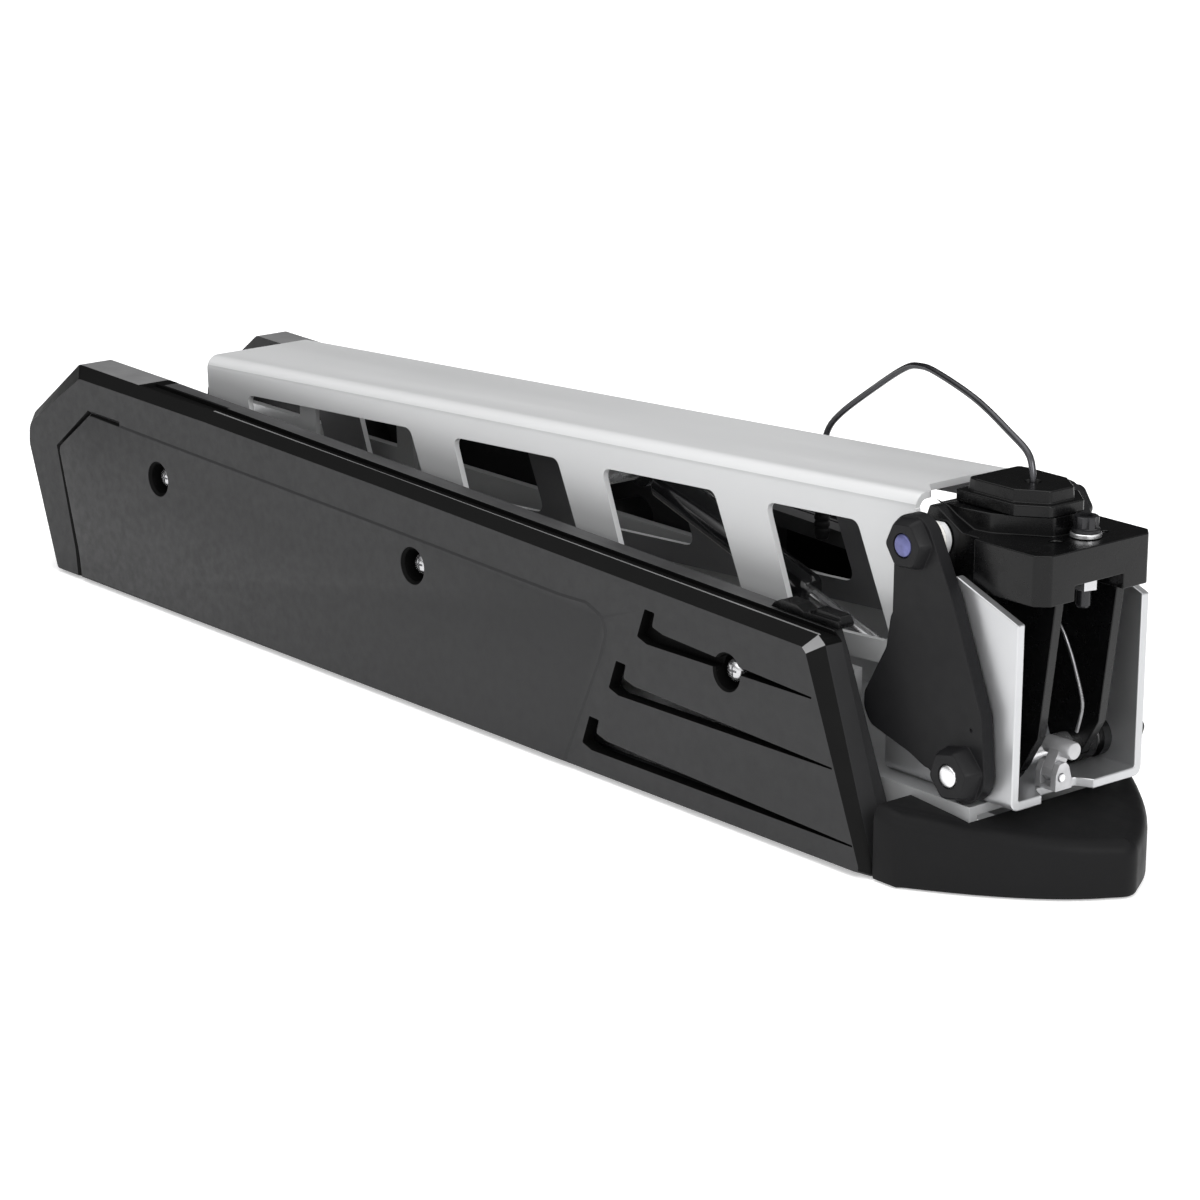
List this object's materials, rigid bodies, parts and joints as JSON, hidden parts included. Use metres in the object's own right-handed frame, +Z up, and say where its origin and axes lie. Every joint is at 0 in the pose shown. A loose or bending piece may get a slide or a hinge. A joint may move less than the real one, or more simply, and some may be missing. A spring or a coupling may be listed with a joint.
{
  "type": "trolling motor bow mount",
  "caption": "Folding bow mount for a trolling motor: a low extruded base with side covers and bumper, and a windowed channel arm that slides and tips forward on a hinged tower.",
  "frame": {"origin": "middle of the overall box at deck level, under the feet", "axes": "+X towards the bow along the mount, +Y to port, +Z up from the deck"},
  "size_m": [0.887, 0.173, 0.2384],
  "materials": {
    "black_plastic": "moulded, satin face with glossier bevels",
    "satin_black": "satin black coated casting and plate",
    "black_rubber": "smooth moulded rubber",
    "anodised": "brushed and clear anodised",
    "extrusion": "mill finish extrusion",
    "steel": "bright machined stainless",
    "dark_steel": "black coated steel",
    "nylon": "natural low-friction plastic"
  },
  "bodies": {
    "base": {"base_extrusion": "extrusion", "front_bracket": "anodised", "bracket_bolt_1": "steel", "bracket_bolt_2": "steel", "bracket_bolt_3": "steel", "bracket_bolt_4": "steel", "nose_bumper": "black_rubber", "rear_end_cap": "satin_black", "side_plate_port": "black_plastic", "side_plate_starboard": "black_plastic", "plate_screw_port_1": "dark_steel", "plate_screw_port_2": "dark_steel", "plate_screw_port_3": "dark_steel", "plate_screw_starboard_1": "dark_steel", "plate_screw_starboard_2": "dark_steel", "plate_screw_starboard_3": "dark_steel", "track_liner_port": "nylon", "track_liner_starboard": "nylon", "corner_block_port": "satin_black", "corner_block_starboard": "satin_black", "lower_bush_port": "satin_black", "lower_bush_starboard": "satin_black", "latch_foot": "steel", "latch_pin": "steel", "gas_spring_clevis": "steel", "gas_spring_front_pin": "steel"},
    "swing_arm": {"tower_casting": "satin_black", "cable_guide": "satin_black", "tower_bolt": "dark_steel", "tower_bolt_washer": "steel", "tower_bolt_nut": "steel", "lower_pivot_pin": "steel", "upper_pivot_pin": "steel", "link_port": "satin_black", "link_starboard": "satin_black", "upper_spacer_port": "nylon", "upper_spacer_starboard": "nylon", "lower_spacer_port": "steel", "lower_spacer_starboard": "steel"},
    "release": {"pull_wire": "dark_steel", "pull_grip": "black_rubber", "cable_ferrule": "steel", "release_cable": "dark_steel"},
    "latch": {"latch_lever": "steel"},
    "slide_arm": {"arm_channel": "anodised", "roller_axle": "steel", "axle_sleeve": "steel", "cross_brace": "extrusion", "gas_spring_rear_pin": "steel"},
    "wheel_port": {"roller_port": "nylon"},
    "wheel_starboard": {"roller_starboard": "nylon"},
    "spring_cylinder": {"gas_spring_cylinder": "dark_steel"},
    "spring_rod": {"gas_spring_rod": "steel"}
  },
  "joints": [
    {"name": "arm_swing", "type": "hinge", "parent": "base", "child": "swing_arm", "pos_m": [0.3775, 0, 0.0605], "axis": [0, 1, 0], "range_deg": [0, 60]},
    {"name": "channel_fold", "type": "hinge", "parent": "swing_arm", "child": "slide_arm", "pos_m": [0.3388, 0, 0.1705], "axis": [0, 1, 0], "range_deg": [-58.1, 0]},
    {"name": "roller_port_spin", "type": "hinge", "parent": "slide_arm", "child": "wheel_port", "pos_m": [-0.2835, 0.03, 0.0603], "axis": [0, 1, 0], "continuous": true},
    {"name": "roller_starboard_spin", "type": "hinge", "parent": "slide_arm", "child": "wheel_starboard", "pos_m": [-0.2835, -0.03, 0.0603], "axis": [0, 1, 0], "continuous": true},
    {"name": "release_pull", "type": "slide", "parent": "swing_arm", "child": "release", "axis": [0, 0, 1], "range_m": [0, 0.012], "stiffness_N_per_m": 300, "springref_m": -0.005},
    {"name": "latch_lift", "type": "hinge", "parent": "base", "child": "latch", "pos_m": [0.3995, -0.0145, 0.0565], "axis": [1, 0, 0], "range_deg": [0, 20.1]},
    {"name": "spring_swivel", "type": "hinge", "parent": "slide_arm", "child": "spring_cylinder", "pos_m": [0.0745, 0, 0.148], "axis": [0, 1, 0], "range_deg": [0, 6.3]},
    {"name": "spring_stroke", "type": "slide", "parent": "spring_cylinder", "child": "spring_rod", "axis": [0.953, 0, -0.3029], "range_m": [-0.111, 0]}
  ],
  "couplings": [
    {"joint": "channel_fold", "follows": "arm_swing", "ratio": -0.96713},
    {"joint": "latch_lift", "follows": "release_pull", "rad_per_m": 29.089},
    {"joint": "spring_swivel", "follows": "arm_swing", "ratio": 0.10332},
    {"joint": "spring_stroke", "follows": "arm_swing", "m_per_rad": -0.10577}
  ]
}
